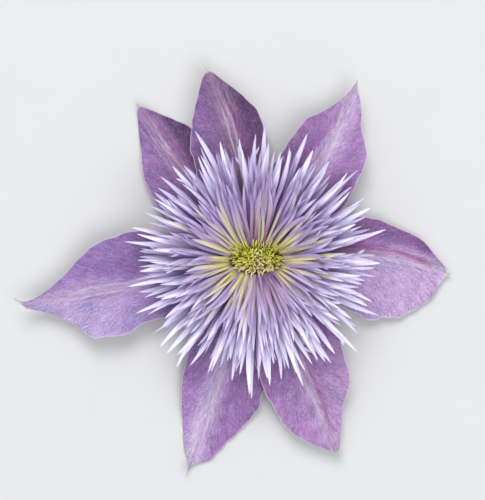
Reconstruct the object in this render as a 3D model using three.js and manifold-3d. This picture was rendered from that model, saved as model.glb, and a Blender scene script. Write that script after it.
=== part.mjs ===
// A picked clematis flower, lying face up. Millimetres, +Z up, the surface it lies on is z = 0.
// +Y is the flower's top as seen from the front. Angles are in degrees, counter-clockwise from +X.

import * as THREE from 'three';
import { mergeVertices } from 'three/addons/utils/BufferGeometryUtils.js';
import Module from 'manifold-3d';

// ---------------------------------------------------------------- driving dimensions

// Where the flower's own centre stands, so that the origin is under the middle of its outline.
const CENTRE_X = 6.4;
const CENTRE_Y = 4;

// Sepals. Every curve along a sepal is given at these shares of its length, from the flower's centre.
const STATIONS = [0, 0.2, 0.4, 0.5, 0.6, 0.7, 0.8, 0.9, 0.95, 1];
const SEPAL_ROOT = 3.6;
const SEPAL_ROWS = 15;
const SEPAL_THICKNESS = 0.75;
const SEPAL_RIB_HEIGHT = 0.3;
const SEPAL_RIB_SPACING = 2.3;
const SEPAL_WAVE = 0.75;
const SEPAL_FREE_FROM = 0.45;
const SEPAL_FREE_AT = 0.75;

// angles: of the midline at the centre and at the tip. left and right: half-widths seen from the
// centre. rise: height of the midline's underside, which is flattened where it would go below the
// surface. fold: slope up from the midline, left and right.
const SEPALS = [
  {
    name: 'sepal_left', angles: [191.6, 190.4], length: 73.5,
    left: [1.6, 6.5, 11.6, 12.2, 14.6, 13.8, 7.8, 3.6, 2.2, 0.3],
    right: [1.6, 7, 14.8, 15.9, 14.8, 11.6, 5.8, 1.7, 0.4, 0.3],
    rise: [8.6, 8.9, 8.4, 7.6, 6.6, 5.4, 4.7, 5, 6.4, 9.4],
    fold: [0.14, 0.2], waves: 3.2, phase: 0.4,
  },
  {
    name: 'sepal_upper_left', angles: [130.5, 127.4], length: 59.8,
    left: [1.6, 7.5, 12.2, 12.7, 11.9, 9.9, 6.5, 3.3, 1.6, 0.35],
    right: [1.6, 7.5, 11.6, 12, 11.4, 10.6, 8.2, 4.2, 2, 0.35],
    rise: [6.5, 6.8, 5.8, 4.5, 2.7, 0.8, -0.5, 0.4, 1.5, 3],
    fold: [0.14, 0.04], waves: 2.6, phase: 2.1,
  },
  {
    name: 'sepal_top', angles: [98, 104.6], length: 60,
    left: [1.6, 6, 11.8, 13.4, 13.4, 12.2, 9.3, 5.4, 2.9, 0.35],
    right: [1.6, 6.2, 8.6, 8.8, 10, 9.5, 7, 3.3, 1.7, 0.35],
    rise: [8.6, 8.9, 8.4, 7.9, 7.3, 6.7, 6.4, 6.8, 7.6, 9],
    fold: [0.12, 0.16], waves: 2.9, phase: 4.2,
  },
  {
    name: 'sepal_upper_right', angles: [54, 60.6], length: 62.6,
    left: [1.6, 7, 12.2, 12, 11.5, 10.7, 6.4, 2.3, 0.9, 0.35],
    right: [1.6, 7.5, 13, 12.6, 12.3, 10.8, 5.9, 3.2, 1.2, 0.35],
    rise: [10.4, 10.7, 10.2, 9.4, 8.3, 7, 5.9, 5.8, 6.6, 8.2],
    fold: [0.1, 0.16], waves: 3.1, phase: 0.9,
  },
  {
    name: 'sepal_right', angles: [6, -4.1], length: 59.6,
    left: [1.6, 7, 10.6, 11.3, 11.1, 9, 7.6, 3.5, 1.7, 0.35],
    right: [1.6, 8, 14.6, 17.6, 19.8, 18.8, 17.4, 13.4, 9.2, 0.35],
    rise: [6.5, 6.8, 5.8, 4.5, 2.7, 0.8, -0.5, 0.3, 1.1, 2.4],
    fold: [0.34, 0.12], waves: 2.7, phase: 5.3,
  },
  {
    name: 'sepal_lower_right', angles: [-67.2, -67.2], length: 64.6,
    left: [1.6, 9, 14.6, 14, 13.4, 11.8, 6.8, 3.7, 1.9, 0.35],
    right: [1.6, 7, 12, 12.7, 12.9, 12.2, 10.8, 5.7, 2.4, 0.35],
    rise: [8.6, 8.9, 8.4, 7.7, 6.6, 5.3, 4.2, 4, 4.4, 5.6],
    fold: [0.14, 0.1], waves: 3, phase: 1.6,
  },
  {
    name: 'sepal_lower_left', angles: [-107.6, -107.9], length: 69.4,
    left: [1.6, 7, 12.8, 14.4, 14.5, 12.6, 8.6, 5.3, 0.7, 0.3],
    right: [1.6, 7, 12, 10.9, 10.4, 8.2, 5.7, 2.7, 0.35, 0.3],
    rise: [6.5, 6.8, 5.8, 4.5, 2.7, 0.8, -0.5, 0.4, 1.5, 3.2],
    fold: [0.06, 0.14], waves: 3.3, phase: 3.4,
  },
];

// Stalk and receptacle, one body. The stalk lies under the left sepal.
const STALK_ANGLE = 191;
const STALK_RADIUS = 1.3;
const STALK_RIDGE = 0.14;
const STALK_REACH = 50;
const STALK_BEND = 4.6;
const STALK_REST = 0.15;
const RECEPTACLE_RADIUS = 3.2;
const RECEPTACLE_BOTTOM = 5.2;
const RECEPTACLE_TOP = 11.9;

// The dome that the petaloids grow from, with a well in its top for the tuft.
const DOME_BOTTOM = 12.2;
const DOME_TOP = 16.4;
const DOME_RADIUS = 9.4;
const WELL_FLOOR = 13.4;
const WELL_LONG = 8;
const WELL_SHORT = 4.5;

// Petaloids, from the lowest whorl to the innermost. root: half axes of the ring they grow from,
// foot: its height, reach: distance of the tips from the centre, lift: height that a tip gains.
const PETALOID_SEED = 20825;
const PETALOID_ROOT_WIDTH = 1;
const PETALOID_DEPTH = 0.8;
const WHORLS = [
  { count: 42, root: [8.4, 8], foot: 13.9, reach: 39.6, lift: -1.6, arch: 1.1, width: 1.65 },
  { count: 42, root: [8.4, 7.4], foot: 14.6, reach: 38.2, lift: 1.9, arch: 1.3, width: 1.6 },
  { count: 41, root: [8.3, 6.7], foot: 15.3, reach: 35.4, lift: 4.8, arch: 1.5, width: 1.6 },
  { count: 39, root: [8.3, 6], foot: 15.9, reach: 31.4, lift: 7, arch: 1.6, width: 1.5 },
  { count: 35, root: [8.3, 5.4], foot: 16.3, reach: 26.6, lift: 8.2, arch: 1.6, width: 1.4 },
  { count: 31, root: [8.4, 4.9], foot: 16.5, reach: 21.4, lift: 8, arch: 1.4, width: 1.25 },
];

// Tuft of short filaments on a small mound, a little above the middle of the well.
const TUFT_SEED = 411;
const TUFT_COUNT = 46;
const TUFT_LONG = 7.3;
const TUFT_SHORT = 3.6;
const TUFT_SHIFT = 0.6;
const TUFT_FOOT = 13.7;
const TUFT_MOUND = 3.2;
const FILAMENT_LENGTH = 3.4;
const FILAMENT_WIDTH = 0.85;

// ---------------------------------------------------------------- small helpers

const wasm = await Module();
wasm.setup();

// Edges shorter than this, which joining leaves, are closed up.
const SLIVER = 0.03;

const radians = THREE.MathUtils.degToRad;

// A repeatable random number from 0 to 1.
function seededRandom(seed) {
  let state = seed >>> 0;
  return () => {
    state = (state + 0x6d2b79f5) >>> 0;
    let mixed = Math.imul(state ^ (state >>> 15), state | 1);
    mixed = (mixed + Math.imul(mixed ^ (mixed >>> 7), mixed | 61)) ^ mixed;
    return ((mixed ^ (mixed >>> 14)) >>> 0) / 4294967296;
  };
}

// A smooth curve through values given at STATIONS, which never swings past them.
function along(values, share) {
  const last = STATIONS.length - 1;
  const steps = [];
  const slopes = [];
  for (let i = 0; i < last; i += 1) {
    steps.push(STATIONS[i + 1] - STATIONS[i]);
    slopes.push((values[i + 1] - values[i]) / steps[i]);
  }
  const tangents = [slopes[0]];
  for (let i = 1; i < last; i += 1) {
    if (slopes[i - 1] * slopes[i] <= 0) {
      tangents.push(0);
    } else {
      const before = 2 * steps[i] + steps[i - 1];
      const after = steps[i] + 2 * steps[i - 1];
      tangents.push((before + after) / (before / slopes[i - 1] + after / slopes[i]));
    }
  }
  tangents.push(slopes[last - 1]);
  let k = 0;
  while (k < last - 1 && share > STATIONS[k + 1]) k += 1;
  const u = (share - STATIONS[k]) / steps[k];
  const near = (2 * u * u * u - 3 * u * u + 1) * values[k];
  const leave = (u * u * u - 2 * u * u + u) * steps[k] * tangents[k];
  const far = (3 * u * u - 2 * u * u * u) * values[k + 1];
  const arrive = (u * u * u - u * u) * steps[k] * tangents[k + 1];
  return near + leave + far + arrive;
}

function geometryFrom(points, triangles) {
  const geometry = new THREE.BufferGeometry();
  geometry.setAttribute('position', new THREE.Float32BufferAttribute(points.flat(), 3));
  geometry.setIndex(triangles.flat());
  geometry.computeVertexNormals();
  return geometry;
}

// A closed body from rings with the same number of points, each counter-clockwise seen from
// the end. A ring of one point is a sharp tip.
function loft(rings) {
  const points = rings.flat();
  const triangles = [];
  const sides = rings[0].length;
  for (let j = 1; j < sides - 1; j += 1) triangles.push([0, j + 1, j]);
  for (let i = 0; i < rings.length - 1; i += 1) {
    const here = i * sides;
    const next = here + sides;
    for (let j = 0; j < sides; j += 1) {
      const k = (j + 1) % sides;
      if (rings[i + 1].length === 1) {
        triangles.push([here + j, here + k, next]);
      } else {
        triangles.push([here + j, here + k, next + k], [here + j, next + k, next + j]);
      }
    }
  }
  if (rings[rings.length - 1].length === sides) {
    const start = (rings.length - 1) * sides;
    for (let j = 1; j < sides - 1; j += 1) triangles.push([start, start + j, start + j + 1]);
  }
  return geometryFrom(points, triangles);
}

// A closed sheet from a grid of points and its underside, split alike on both faces.
function sheet(top, bottom) {
  const rows = top.length;
  const columns = top[0].length;
  const size = rows * columns;
  const points = [...top.flat(), ...bottom.flat()];
  const triangles = [];
  const wall = (a, b) => triangles.push([a, a + size, b + size], [a, b + size, b]);
  for (let i = 0; i < rows - 1; i += 1) {
    for (let j = 0; j < columns - 1; j += 1) {
      const a = i * columns + j;
      const b = a + 1;
      const c = a + columns;
      const d = c + 1;
      triangles.push([a, b, d], [a, d, c]);
      triangles.push([a + size, d + size, b + size], [a + size, c + size, d + size]);
    }
  }
  for (let i = 0; i < rows - 1; i += 1) {
    wall((i + 1) * columns, i * columns);
    wall(i * columns + columns - 1, (i + 1) * columns + columns - 1);
  }
  for (let j = 0; j < columns - 1; j += 1) {
    wall(j, j + 1);
    wall((rows - 1) * columns + j + 1, (rows - 1) * columns + j);
  }
  return geometryFrom(points, triangles);
}

function toSolid(geometry) {
  const bare = new THREE.BufferGeometry();
  bare.setAttribute('position', geometry.getAttribute('position').clone());
  if (geometry.index) bare.setIndex(geometry.index.clone());
  const merged = mergeVertices(bare, 1e-4);
  return new wasm.Manifold(new wasm.Mesh({
    numProp: 3,
    vertProperties: new Float32Array(merged.getAttribute('position').array),
    triVerts: new Uint32Array(merged.index.array),
  }));
}

function toGeometry(solid) {
  const mesh = solid.getMesh();
  const geometry = new THREE.BufferGeometry();
  geometry.setAttribute('position', new THREE.BufferAttribute(mesh.vertProperties, 3));
  geometry.setIndex(new THREE.BufferAttribute(mesh.triVerts, 1));
  geometry.computeVertexNormals();
  return geometry;
}

// Joins solids two by two, so that each join stays small.
function joinAll(solids) {
  let pile = solids;
  while (pile.length > 1) {
    const next = [];
    for (let i = 0; i < pile.length; i += 2) {
      next.push(i + 1 < pile.length ? pile[i].add(pile[i + 1]) : pile[i]);
    }
    pile = next;
  }
  return pile[0];
}

// Fills the sealed pockets that crossing blades leave between them: only the outer skin stays.
function withoutPockets(solid) {
  const skins = solid.decompose();
  return skins.reduce((largest, skin) => (skin.volume() > largest.volume() ? skin : largest));
}

// A lathed body about +Z from a profile of [radius, height] pairs, listed from the bottom up.
function turned(profile, sides) {
  const outline = profile.map(([radius, height]) => new THREE.Vector2(radius, height));
  return new THREE.LatheGeometry(outline, sides).rotateX(Math.PI / 2);
}

// ---------------------------------------------------------------- sepals

function midline(sepal, share) {
  const [start, end] = sepal.angles;
  const angle = radians(start + (end - start) * share * share);
  return new THREE.Vector2(Math.cos(angle), Math.sin(angle)).multiplyScalar(sepal.length * share);
}

// The direction to the left of the midline, seen from the flower's centre.
function leftOf(sepal, share) {
  const step = 0.01;
  const ahead = midline(sepal, Math.min(1, share + step));
  const way = ahead.sub(midline(sepal, Math.max(0, share - step))).normalize();
  return new THREE.Vector2(-way.y, way.x);
}

// Grid columns across a sepal: its edges, three ribs with a groove on each side, and fillers.
function sepalColumns(leftWidth, rightWidth) {
  const half = (width) => {
    const rib = Math.min(SEPAL_RIB_SPACING, width * 0.34);
    return [
      { across: width, rib: 0 },
      { across: width * 0.78, rib: 0 },
      { across: width * 0.54, rib: 0 },
      { across: rib, rib: 1 },
      { across: rib * 0.5, rib: 0 },
    ];
  };
  const left = half(leftWidth);
  const right = half(rightWidth).reverse().map((column) => ({ ...column, across: -column.across }));
  return [...left, { across: 0, rib: 1 }, ...right];
}

function sepalGeometry(sepal) {
  const top = [];
  const bottom = [];
  const rootShare = SEPAL_ROOT / sepal.length;
  for (let i = 0; i <= SEPAL_ROWS; i += 1) {
    // Rows stand closer together towards the tip.
    const share = rootShare + (1 - rootShare) * (1 - (1 - i / SEPAL_ROWS) ** 1.25);
    const middle = midline(sepal, share);
    const side = leftOf(sepal, share);
    const rise = along(sepal.rise, share);
    const free = THREE.MathUtils.smoothstep(share, SEPAL_FREE_FROM, SEPAL_FREE_AT);
    const ribs = SEPAL_RIB_HEIGHT * (1 - share ** 6);
    const columns = sepalColumns(along(sepal.left, share), along(sepal.right, share));
    const widest = [columns[columns.length - 1].across, columns[0].across];
    const topRow = [];
    const bottomRow = [];
    for (const { across, rib } of columns) {
      const onLeft = across >= 0;
      const edge = Math.abs(across / (onLeft ? widest[1] : widest[0]));
      const turn = 2 * Math.PI * sepal.waves * share + sepal.phase + (onLeft ? 0 : 2.2);
      const wave = SEPAL_WAVE * Math.sin(turn) * edge * edge;
      const fold = sepal.fold[onLeft ? 0 : 1] * Math.abs(across) * edge;
      const low = Math.max(0, rise + free * (wave + fold) - rib * ribs * 0.6);
      const thick = SEPAL_THICKNESS * (1 - 0.2 * edge) + rib * ribs;
      const x = middle.x + side.x * across;
      const y = middle.y + side.y * across;
      topRow.push([x, y, low + thick]);
      bottomRow.push([x, y, low]);
    }
    top.push(topRow);
    bottom.push(bottomRow);
  }
  return sheet(top, bottom);
}

// ---------------------------------------------------------------- stalk and receptacle

function stalkGeometry() {
  const bend = STALK_BEND;
  const low = STALK_RADIUS + STALK_REST;
  const route = new THREE.CatmullRomCurve3([
    new THREE.Vector3(0, 0, RECEPTACLE_BOTTOM + 2),
    new THREE.Vector3(0, 0, low + bend),
    new THREE.Vector3(bend * 0.29, 0, low + bend * 0.29),
    new THREE.Vector3(bend, 0, low),
    new THREE.Vector3(STALK_REACH * 0.35, 1.2, low),
    new THREE.Vector3(STALK_REACH * 0.68, 0.3, low),
    new THREE.Vector3(STALK_REACH, -1.6, low),
  ]);
  const section = new THREE.Shape();
  const ridges = 6;
  for (let i = 0; i < ridges * 2; i += 1) {
    const angle = (Math.PI * i) / ridges;
    const radius = STALK_RADIUS - (i % 2 === 0 ? 0 : STALK_RIDGE);
    const point = [radius * Math.cos(angle), radius * Math.sin(angle)];
    if (i === 0) section.moveTo(...point);
    else section.lineTo(...point);
  }
  section.closePath();
  const tube = new THREE.ExtrudeGeometry(section, { steps: 20, extrudePath: route });
  tube.rotateZ(radians(STALK_ANGLE));
  const head = turned([
    [0, RECEPTACLE_BOTTOM],
    [STALK_RADIUS + 0.3, RECEPTACLE_BOTTOM],
    [RECEPTACLE_RADIUS - 0.5, RECEPTACLE_BOTTOM + 1],
    [RECEPTACLE_RADIUS, RECEPTACLE_BOTTOM + 2],
    [RECEPTACLE_RADIUS, RECEPTACLE_TOP - 0.5],
    [RECEPTACLE_RADIUS - 0.5, RECEPTACLE_TOP],
    [0, RECEPTACLE_TOP],
  ], 20);
  return toGeometry(toSolid(tube).add(toSolid(head)));
}

// ---------------------------------------------------------------- petaloids

function petaloidDome() {
  const outside = turned([
    [0, DOME_BOTTOM],
    [RECEPTACLE_RADIUS, DOME_BOTTOM],
    [DOME_RADIUS - 1, DOME_BOTTOM + 0.9],
    [DOME_RADIUS, DOME_BOTTOM + 2.2],
    [DOME_RADIUS - 0.3, DOME_TOP - 0.6],
    [DOME_RADIUS - 0.9, DOME_TOP],
    [0, DOME_TOP],
  ], 32);
  const depth = DOME_TOP + 1 - WELL_FLOOR;
  const well = new THREE.CylinderGeometry(1, 1, depth, 32).rotateX(Math.PI / 2);
  well.scale(WELL_LONG, WELL_SHORT, 1).translate(0, 0, WELL_FLOOR + depth / 2);
  return toSolid(outside).subtract(toSolid(well));
}

// The shape of one petaloid: width as a share of its widest place, at shares of its length.
const PETALOID_SHARES = [0, 0.4, 0.7, 0.88];
const PETALOID_WIDTHS = [0, 0.78, 1, 0.62];

// A narrow pointed blade with a flat face and a keel below it.
function petaloid(whorl, angle, draw) {
  const way = new THREE.Vector3(Math.cos(angle), Math.sin(angle), 0);
  const aside = new THREE.Vector3(-way.y, way.x, 0);
  const foot = new THREE.Vector3(whorl.root[0] * way.x, whorl.root[1] * way.y, whorl.foot);
  const run = whorl.reach * (0.88 + 0.15 * draw()) - foot.clone().setZ(0).length();
  const lift = whorl.lift + 2 * draw() - 0.8;
  const sweep = 5.6 * (draw() - 0.5);
  const roll = 0.8 * (draw() - 0.5);
  const half = (whorl.width * (0.86 + 0.28 * draw())) / 2;
  const place = (share) => foot.clone()
    .addScaledVector(way, run * share)
    .addScaledVector(aside, sweep * share * share)
    .setZ(whorl.foot + lift * share + whorl.arch * Math.sin(Math.PI * share) * 0.8);
  const rings = PETALOID_SHARES.map((share, i) => {
    const centre = place(share);
    const ahead = place(share + 0.02).sub(centre).normalize();
    const across = new THREE.Vector3(-ahead.y, ahead.x, 0).normalize();
    across.applyAxisAngle(ahead, roll * share);
    const up = ahead.clone().cross(across);
    const width = Math.max(PETALOID_ROOT_WIDTH / 2, half * PETALOID_WIDTHS[i]);
    const keel = PETALOID_DEPTH * (share > 0.8 ? 0.8 : 1);
    return [
      centre.clone().addScaledVector(across, -width),
      centre.clone().addScaledVector(up, -keel),
      centre.clone().addScaledVector(across, width),
    ].map((point) => point.toArray());
  });
  rings.push([place(1).toArray()]);
  return toSolid(loft(rings));
}

function petaloidsGeometry() {
  const draw = seededRandom(PETALOID_SEED);
  const solids = [petaloidDome()];
  WHORLS.forEach((whorl, level) => {
    const pitch = (2 * Math.PI) / whorl.count;
    for (let i = 0; i < whorl.count; i += 1) {
      const angle = pitch * (i + 0.5 * (level % 2) + 0.6 * (draw() - 0.5));
      solids.push(petaloid(whorl, angle, draw));
    }
  });
  return toGeometry(withoutPockets(joinAll(solids).simplify(SLIVER)));
}

// ---------------------------------------------------------------- tuft

// A short three-sided filament that leans outwards and curls, kept inside the well's outline.
function filament(draw) {
  const angle = 2 * Math.PI * draw();
  const out = Math.sqrt(draw());
  const x = TUFT_LONG * 0.86 * out * Math.cos(angle);
  const y = TUFT_SHORT * 0.84 * out * Math.sin(angle) + TUFT_SHIFT;
  const z = TUFT_FOOT + TUFT_MOUND * Math.sqrt(1 - 0.7 * out * out) - 0.9;
  const length = FILAMENT_LENGTH * (0.7 + 0.6 * draw());
  const lean = new THREE.Vector3(x * 0.14, (y - TUFT_SHIFT) * 0.16, length);
  const curl = new THREE.Vector3(draw() - 0.5, 0.5 * (draw() - 0.5), 0).multiplyScalar(1.4 * (1 - out * 0.7));
  const place = (share) => new THREE.Vector3(x, y, z)
    .addScaledVector(lean, share)
    .addScaledVector(curl, share * share);
  const rings = [0, 0.45, 0.8].map((share) => {
    const centre = place(share);
    const width = (FILAMENT_WIDTH * (1 - 0.25 * share)) / 2;
    return [0, 1, 2].map((corner) => {
      const turn = (2 * Math.PI * corner) / 3 + angle;
      return [centre.x + width * Math.cos(turn), centre.y + width * Math.sin(turn), centre.z];
    });
  });
  rings.push([place(1).toArray()]);
  return toSolid(loft(rings));
}

function tuftGeometry() {
  const draw = seededRandom(TUFT_SEED);
  const mound = turned([
    [0, 0],
    [0.98, 0],
    [0.95, 0.4],
    [0.72, 0.8],
    [0.36, 1],
    [0, 1],
  ], 18);
  mound.scale(TUFT_LONG, TUFT_SHORT, TUFT_MOUND).translate(0, TUFT_SHIFT, TUFT_FOOT);
  const solids = [toSolid(mound)];
  for (let i = 0; i < TUFT_COUNT; i += 1) solids.push(filament(draw));
  return toGeometry(withoutPockets(joinAll(solids)));
}

// ---------------------------------------------------------------- the flower

const sepalMaterial = new THREE.MeshStandardMaterial({ color: 0xa584bd, roughness: 0.6, metalness: 0 });
const petaloidMaterial = new THREE.MeshStandardMaterial({ color: 0xb9aedb, roughness: 0.55, metalness: 0 });
const tuftMaterial = new THREE.MeshStandardMaterial({ color: 0xa9a148, roughness: 0.7, metalness: 0 });
const stalkMaterial = new THREE.MeshStandardMaterial({ color: 0x7d8a4c, roughness: 0.7, metalness: 0 });

const group = new THREE.Group();
group.position.set(CENTRE_X, CENTRE_Y, 0);

function add(name, geometry, material) {
  const mesh = new THREE.Mesh(geometry, material);
  mesh.name = name;
  group.add(mesh);
}

for (const sepal of SEPALS) add(sepal.name, sepalGeometry(sepal), sepalMaterial);
add('stalk', stalkGeometry(), stalkMaterial);
add('petaloids', petaloidsGeometry(), petaloidMaterial);
add('tuft', tuftGeometry(), tuftMaterial);

export default group;
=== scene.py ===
"""The looks of a picked clematis flower that lies face up.

The tables and lengths below are millimetres in the flower's own frame: its centre is at CENTRE,
+Y runs to its top sepal and +Z up. Meshes are written in metres.
"""
import math
from functools import reduce

import bpy
import numpy as np
from mathutils import Matrix, Vector


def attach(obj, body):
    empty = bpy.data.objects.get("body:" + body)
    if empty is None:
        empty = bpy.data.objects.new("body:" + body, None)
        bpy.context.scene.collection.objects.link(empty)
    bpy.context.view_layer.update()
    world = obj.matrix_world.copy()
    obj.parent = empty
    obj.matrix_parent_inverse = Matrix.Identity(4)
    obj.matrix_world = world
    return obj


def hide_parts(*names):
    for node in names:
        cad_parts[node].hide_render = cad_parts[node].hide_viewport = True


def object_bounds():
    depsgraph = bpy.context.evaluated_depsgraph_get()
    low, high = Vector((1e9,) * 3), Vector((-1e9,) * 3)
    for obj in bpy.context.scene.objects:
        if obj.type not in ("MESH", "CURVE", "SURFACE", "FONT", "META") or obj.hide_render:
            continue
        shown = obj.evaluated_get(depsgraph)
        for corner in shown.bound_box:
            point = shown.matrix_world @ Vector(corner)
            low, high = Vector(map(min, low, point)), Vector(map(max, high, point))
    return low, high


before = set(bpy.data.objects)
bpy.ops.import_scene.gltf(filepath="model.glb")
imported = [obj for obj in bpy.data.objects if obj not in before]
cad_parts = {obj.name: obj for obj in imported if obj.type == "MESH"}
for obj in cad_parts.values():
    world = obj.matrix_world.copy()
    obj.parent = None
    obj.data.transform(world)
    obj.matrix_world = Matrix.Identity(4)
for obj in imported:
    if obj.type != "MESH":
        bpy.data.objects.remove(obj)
cad_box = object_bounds()

# -------- driving dimensions

MM = 0.001
CENTRE = np.array([6.4, 4.0, cad_box[0][2] / MM])

# Sepals, with the same curves as the part's source: values at these shares of the length.
STATIONS = [0, 0.2, 0.4, 0.5, 0.6, 0.7, 0.8, 0.9, 0.95, 1]
SEPAL_ROOT = 3
SEPAL_ROWS = 130
SEPAL_COLUMNS = 63
SEPAL_THICKNESS = 0.45
SEPAL_PLANE = 0.37
SEPAL_RIB_HEIGHT = 0.3
SEPAL_RIB_SPACING = 2.3
SEPAL_WAVE = 0.75
SEPAL_RUFFLE = 0.24
SEPAL_QUILT = 0.07
# Notches in the outline: the size as a share of the half-width, the pace along the sepal, and how
# many times NOTCH_SHIFT they move from one sepal to the next.
SEPAL_NOTCHES = [(0.014, 37, 1), (0.008, 83, 2)]
NOTCH_SHIFT = 1.7
SEPAL_FREE_FROM = 0.45
SEPAL_FREE_AT = 0.75
TIP_FROM = 0.955

# depth and warm: how deep and how pink the left half, the bar and the right half are, 0 to 1.
# The depths hold painted shade too: the upper sepals are deeper where a leaf and their neighbours
# shade them, and the left and right sepals are deeper on their upper half, for light from the top.
# flush: a magenta band beside the bar, which closes in on it towards the tip, as its place across
# and half-width at 0.6 of the length and its strength.
# hook: how far the tip bends to the left of its way.
SEPALS = [
    dict(
        name="sepal_left", angles=(191.6, 190.4), length=73.5,
        left=[1.6, 6.5, 11.6, 12.2, 14.6, 13.8, 7.8, 3.6, 2.2, 0.3],
        right=[1.6, 7, 14.8, 15.9, 14.8, 11.6, 5.8, 1.7, 0.4, 0.3],
        rise=[8.6, 8.9, 8.4, 7.6, 6.6, 5.4, 4.7, 5, 6.4, 9.4],
        fold=(0.14, 0.2), waves=3.2, phase=0.4, hook=-1.6,
        depth=(0.19, 0.24, 0.53), warm=(0.05, 0.25, 0.05), flush=(-4.2, 1.8, 0.2),
    ),
    dict(
        name="sepal_upper_left", angles=(130.5, 127.4), length=59.8,
        left=[1.6, 7.5, 12.2, 12.7, 11.9, 9.9, 6.5, 3.3, 1.6, 0.35],
        right=[1.6, 7.5, 11.6, 12, 11.4, 10.6, 8.2, 4.2, 2, 0.35],
        rise=[6.5, 6.8, 5.8, 4.5, 2.7, 0.8, -0.5, 0.4, 1.5, 3],
        fold=(0.14, 0.04), waves=2.6, phase=2.1,
        depth=(0.54, 0.54, 1), warm=(0.4, 0.6, 0.4), flush=(-3, 2.4, 0.35),
    ),
    dict(
        name="sepal_top", angles=(98, 104.6), length=60,
        left=[1.6, 6, 11.8, 13.4, 13.4, 12.2, 9.3, 5.4, 2.9, 0.35],
        right=[1.6, 6.2, 8.6, 8.8, 10, 9.5, 7, 3.3, 1.7, 0.35],
        rise=[8.6, 8.9, 8.4, 7.9, 7.3, 6.7, 6.4, 6.8, 7.6, 9],
        fold=(0.12, 0.16), waves=2.9, phase=4.2,
        depth=(0.68, 0.8, 1), warm=(0.45, 0.9, 0.5), flush=(-2.8, 2.2, 0.5),
    ),
    dict(
        name="sepal_upper_right", angles=(54, 60.6), length=62.6,
        left=[1.6, 7, 12.2, 12, 11.5, 10.7, 6.4, 2.3, 0.9, 0.35],
        right=[1.6, 7.5, 13, 12.6, 12.3, 10.8, 5.9, 3.2, 1.2, 0.35],
        rise=[10.4, 10.7, 10.2, 9.4, 8.3, 7, 5.9, 5.8, 6.6, 8.2],
        fold=(0.1, 0.16), waves=3.1, phase=0.9,
        depth=(0.58, 0.12, 0.46), warm=(0.6, 0.35, 0.55), flush=(4.6, 2.2, 0.5),
    ),
    dict(
        name="sepal_right", angles=(6, -4.1), length=59.6,
        left=[1.6, 7, 10.6, 11.3, 11.1, 9, 7.6, 3.5, 1.7, 0.35],
        right=[1.6, 8, 14.6, 17.6, 19.8, 18.8, 17.4, 13.4, 9.2, 0.35],
        rise=[6.5, 6.8, 5.8, 4.5, 2.7, 0.8, -0.5, 0.3, 1.1, 2.4],
        fold=(0.34, 0.12), waves=2.7, phase=5.3,
        depth=(0.68, 0.08, 0.12), warm=(0.6, 0.4, 0.5), flush=(2.2, 1.6, 1.2),
    ),
    dict(
        name="sepal_lower_right", angles=(-67.2, -67.2), length=64.6,
        left=[1.6, 9, 14.6, 14, 13.4, 11.8, 6.8, 3.7, 1.9, 0.35],
        right=[1.6, 7, 12, 12.7, 12.9, 12.2, 10.8, 5.7, 2.4, 0.35],
        rise=[8.6, 8.9, 8.4, 7.7, 6.6, 5.3, 4.2, 4, 4.4, 5.6],
        fold=(0.14, 0.1), waves=3, phase=1.6,
        depth=(0.3, 0.36, 0.42), warm=(0.6, 0.5, 0.6), flush=(2.8, 1.8, 0.6),
    ),
    dict(
        name="sepal_lower_left", angles=(-107.6, -107.9), length=69.4,
        left=[1.6, 7, 12.8, 14.4, 14.5, 12.6, 8.6, 5.3, 0.7, 0.3],
        right=[1.6, 7, 12, 10.9, 10.4, 8.2, 5.7, 2.7, 0.35, 0.3],
        rise=[6.5, 6.8, 5.8, 4.5, 2.7, 0.8, -0.5, 0.4, 1.5, 3.2],
        fold=(0.06, 0.14), waves=3.3, phase=3.4,
        depth=(0.5, 0.0, 0.42), warm=(0.5, 0.25, 0.45), flush=(3.6, 2.6, 0.3),
    ),
]

# Stalk and receptacle.
STALK_ANGLE = 191
STALK_RADIUS = 1.3
STALK_RIDGE = 0.14
STALK_REACH = 50
STALK_BEND = 4.6
STALK_REST = 0.15
STALK_END = 0.999
RECEPTACLE_RADIUS = 3.2
RECEPTACLE_BOTTOM = 5.2
RECEPTACLE_TOP = 11.9

# The dome that the petaloids grow from, with the tuft's well in its top.
DOME_BOTTOM = 11.8
DOME_TOP = 16.4
DOME_RADIUS = 9.4
WELL_FLOOR = 13.4
WELL_LONG = 8
WELL_SHORT = 4.5

# Petaloids, from the lowest whorl to the innermost, with the part's own seed.
PETALOID_SEED = 20825
PETALOID_ROOT_WIDTH = 1
BOSS_RADIUS = 40
ROOT_INSET = 0.8
LENGTH_SPREAD = 0.22
BLADE_THICKNESS = 0.17
BLADE_TWIST = 1.1
BLADE_HOOK = 1.8
BLADE_SWAY = 0.6
BARB_SHARE = 0.08
BARB_PLACE = 0.76
BLADE_ROWS = 20
BLADE_COLUMNS = 9
WHORLS = [
    dict(count=42, root=(8.4, 8), foot=13.9, reach=39.6, lift=-1.6, arch=1.1, width=1.65),
    dict(count=42, root=(8.4, 7.4), foot=14.6, reach=38.2, lift=1.9, arch=1.3, width=1.6),
    dict(count=41, root=(8.3, 6.7), foot=15.3, reach=35.4, lift=4.8, arch=1.5, width=1.6),
    dict(count=39, root=(8.3, 6), foot=15.9, reach=31.4, lift=7, arch=1.6, width=1.5),
    dict(count=35, root=(8.3, 5.4), foot=16.3, reach=26.6, lift=8.2, arch=1.6, width=1.4),
    dict(count=31, root=(8.4, 4.9), foot=16.5, reach=21.4, lift=8, arch=1.4, width=1.25),
]
# Thinner blades that stand between the whorls; the part's solids leave them out.
FILLER_SEED = 3107
FILLER_COUNT = 42
FILLER_WIDTH = 0.78
FILLER_REACH = 0.9
TOP_FILLER_REACH = 1.2
# Painted shade on the filler blades, which lie under the others.
FILLER_PAINTED_SHADE = 0.14

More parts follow.
